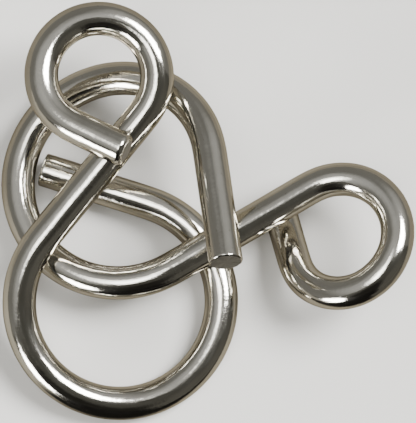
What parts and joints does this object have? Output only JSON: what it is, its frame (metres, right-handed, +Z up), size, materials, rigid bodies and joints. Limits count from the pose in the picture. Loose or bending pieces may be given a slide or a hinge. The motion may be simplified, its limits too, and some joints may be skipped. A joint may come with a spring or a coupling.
{
  "type": "disentanglement puzzle",
  "caption": "Bent-wire disentanglement puzzle: matching wires with a small eye, a shank and a large open loop, hooked through each other",
  "frame": {"origin": "centre of the bounding box at the surface the puzzle lies on", "axes": "+Z up from that surface; the puzzle lies flat in X and Y, with the upper wire's eye towards +Y and the lower wire's eye towards +X"},
  "size_m": [0.0608, 0.0602, 0.0244],
  "materials": {
    "nickel_plate": "bright plated steel wire, polished, faintly rippled"
  },
  "bodies": {
    "lower": {"lower_wire": "nickel_plate"},
    "upper": {"upper_wire": "nickel_plate"}
  },
  "joints": [
    {"name": "upper_swing", "type": "hinge", "parent": "lower", "child": "upper", "pos_m": [0.00509, -0.00193, 0.00919], "axis": [0.8593, 0.5082, 0.0576], "range_deg": [0, 100]}
  ]
}
